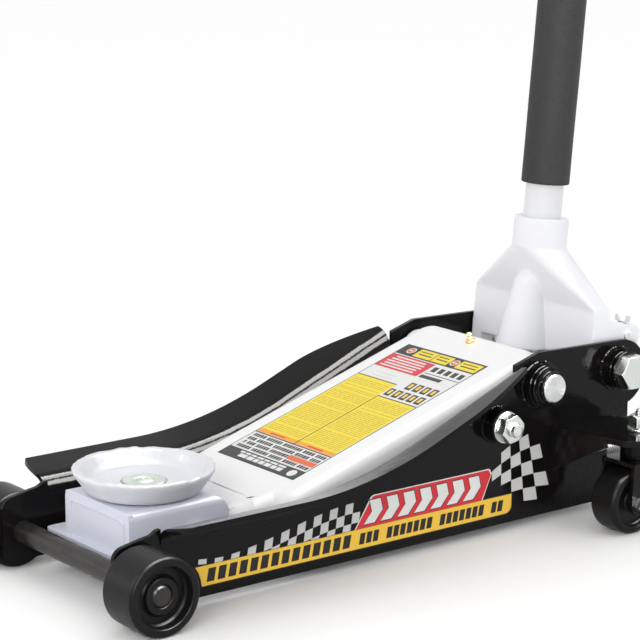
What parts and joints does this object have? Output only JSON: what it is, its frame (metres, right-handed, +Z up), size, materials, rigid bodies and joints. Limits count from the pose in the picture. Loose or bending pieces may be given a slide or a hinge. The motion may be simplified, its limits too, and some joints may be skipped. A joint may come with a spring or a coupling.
{
  "type": "hydraulic floor jack",
  "caption": "Low-profile rolling floor jack with a pressed lift arm, swivelling saddle, rear casters and an upright pump handle.",
  "frame": {"origin": "bottom centre of the whole jack's box, on the floor, with the arm down and the handle upright", "axes": "+X towards the handle end, +Y to the right-hand side plate seen from the handle, +Z up"},
  "size_m": [0.6828, 0.379, 1.1681],
  "materials": {
    "frame_black": "high-gloss black enamel",
    "jack_white": "gloss off-white enamel",
    "wheel_black": "cast wheel with a satin black coat",
    "axle_black": "satin black",
    "zinc": "bright zinc plate",
    "pin_steel": "turned steel",
    "ram_chrome": "hard chrome, ground",
    "nipple_brass": "plain brass",
    "foam": "matte closed-cell foam",
    "grip": "matte moulded rubber"
  },
  "bodies": {
    "frame": {"side_plate_left": "frame_black", "side_plate_right": "frame_black", "frame_cross_tube": "frame_black", "front_axle": "axle_black", "axle_retaining_rings": "pin_steel", "cylinder_head": "frame_black", "reservoir_tube": "frame_black", "ram_cylinder": "pin_steel", "pump_block": "frame_black", "oil_filler_plug": "zinc", "spring_anchor_studs": "zinc", "arm_pivot_pin": "pin_steel", "arm_pin_collars": "frame_black", "rod_pivot_bolts": "zinc", "rod_pivot_nuts": "zinc", "socket_pivot_bolts": "zinc", "socket_pivot_washers": "frame_black", "caster_plate_left": "frame_black", "caster_plate_right": "frame_black", "caster_kingpins": "zinc", "return_spring_left": "pin_steel", "return_spring_right": "pin_steel", "pump_spring": "pin_steel"},
    "wheel_left": {"front_wheel_left": "wheel_black"},
    "wheel_right": {"front_wheel_right": "wheel_black"},
    "arm": {"lift_arm": "jack_white", "arm_lever": "jack_white", "lever_pin": "pin_steel", "grease_nipple": "nipple_brass"},
    "head": {"head_bracket": "jack_white", "head_pivot_pin": "pin_steel", "rod_front_pin": "pin_steel", "saddle_screw": "zinc"},
    "saddle_cup": {"saddle": "jack_white"},
    "rods": {"radius_rod_left": "frame_black", "radius_rod_right": "frame_black"},
    "ram_body": {"ram": "ram_chrome", "crosshead": "pin_steel", "spring_cross_pin": "zinc"},
    "pump_plunger": {"pump_piston": "pin_steel"},
    "release": {"release_valve": "pin_steel"},
    "socket": {"handle_socket": "jack_white", "socket_lug_screws": "zinc", "roller_pin": "pin_steel"},
    "roller": {"cam_roller": "pin_steel"},
    "handle": {"handle_lower_tube": "jack_white", "handle_upper_tube": "jack_white", "foam_sleeve": "foam", "hand_grip": "grip", "tube_lock_button": "zinc"},
    "caster_left": {"caster_fork_left": "frame_black", "caster_axle_left": "zinc"},
    "caster_right": {"caster_fork_right": "frame_black", "caster_axle_right": "zinc"},
    "caster_roll_left": {"caster_wheel_left": "wheel_black"},
    "caster_roll_right": {"caster_wheel_right": "wheel_black"}
  },
  "joints": [
    {"name": "arm_lift", "type": "hinge", "parent": "frame", "child": "arm", "pos_m": [0.14957, 0, 0.138], "axis": [0, 1, 0], "range_deg": [0, 58]},
    {"name": "head_level", "type": "hinge", "parent": "arm", "child": "head", "pos_m": [-0.21843, 0, 0.046], "axis": [0, 1, 0], "range_deg": [-58, 0]},
    {"name": "saddle_swivel", "type": "hinge", "parent": "head", "child": "saddle_cup", "pos_m": [-0.23443, 0, 0.08], "axis": [0, 0, 1], "continuous": true},
    {"name": "rod_swing", "type": "hinge", "parent": "frame", "child": "rods", "pos_m": [0.09557, 0, 0.108], "axis": [0, 1, 0], "range_deg": [0, 58]},
    {"name": "ram_push", "type": "slide", "parent": "frame", "child": "ram_body", "axis": [-1, 0, 0], "range_m": [0, 0.0777]},
    {"name": "handle_pump", "type": "hinge", "parent": "frame", "child": "socket", "pos_m": [0.25057, 0, 0.139], "axis": [0, 1, 0], "range_deg": [0, 60]},
    {"name": "pump_stroke", "type": "slide", "parent": "frame", "child": "pump_plunger", "axis": [0, 0, -1], "range_m": [0, 0.0301], "deforming": ["pump_spring"]},
    {"name": "roller_spin", "type": "hinge", "parent": "socket", "child": "roller", "pos_m": [0.27657, 0.044, 0.154], "axis": [0, 1, 0], "continuous": true},
    {"name": "handle_twist", "type": "hinge", "parent": "socket", "child": "handle", "pos_m": [0.23398, 0, 0.2611], "axis": [0.0941, 0, 0.9956], "range_deg": [0, 180]},
    {"name": "release_turn", "type": "hinge", "parent": "frame", "child": "release", "pos_m": [0.22157, 0, 0.12], "axis": [0, 0, 1], "range_deg": [0, 180]},
    {"name": "wheel_left_spin", "type": "hinge", "parent": "frame", "child": "wheel_left", "pos_m": [-0.30643, -0.118, 0.035], "axis": [0, 1, 0], "continuous": true},
    {"name": "wheel_right_spin", "type": "hinge", "parent": "frame", "child": "wheel_right", "pos_m": [-0.30643, 0.118, 0.035], "axis": [0, 1, 0], "continuous": true},
    {"name": "caster_left_swivel", "type": "hinge", "parent": "frame", "child": "caster_left", "pos_m": [0.22457, -0.156, 0.072], "axis": [0, 0, 1], "continuous": true},
    {"name": "caster_left_spin", "type": "hinge", "parent": "caster_left", "child": "caster_roll_left", "pos_m": [0.20457, -0.156, 0.031], "axis": [0, 1, 0], "continuous": true},
    {"name": "caster_right_swivel", "type": "hinge", "parent": "frame", "child": "caster_right", "pos_m": [0.22457, 0.156, 0.072], "axis": [0, 0, 1], "continuous": true},
    {"name": "caster_right_spin", "type": "hinge", "parent": "caster_right", "child": "caster_roll_right", "pos_m": [0.20457, 0.156, 0.031], "axis": [0, 1, 0], "continuous": true}
  ],
  "couplings": [
    {"joint": "head_level", "follows": "arm_lift", "ratio": -1},
    {"joint": "rod_swing", "follows": "arm_lift", "ratio": 1},
    {"joint": "ram_push", "follows": "arm_lift", "m_per_rad": 0.07663},
    {"joint": "pump_stroke", "follows": "handle_pump", "m_per_rad": 0.02865},
    {"joint": "release_turn", "follows": "handle_twist", "ratio": 1}
  ]
}
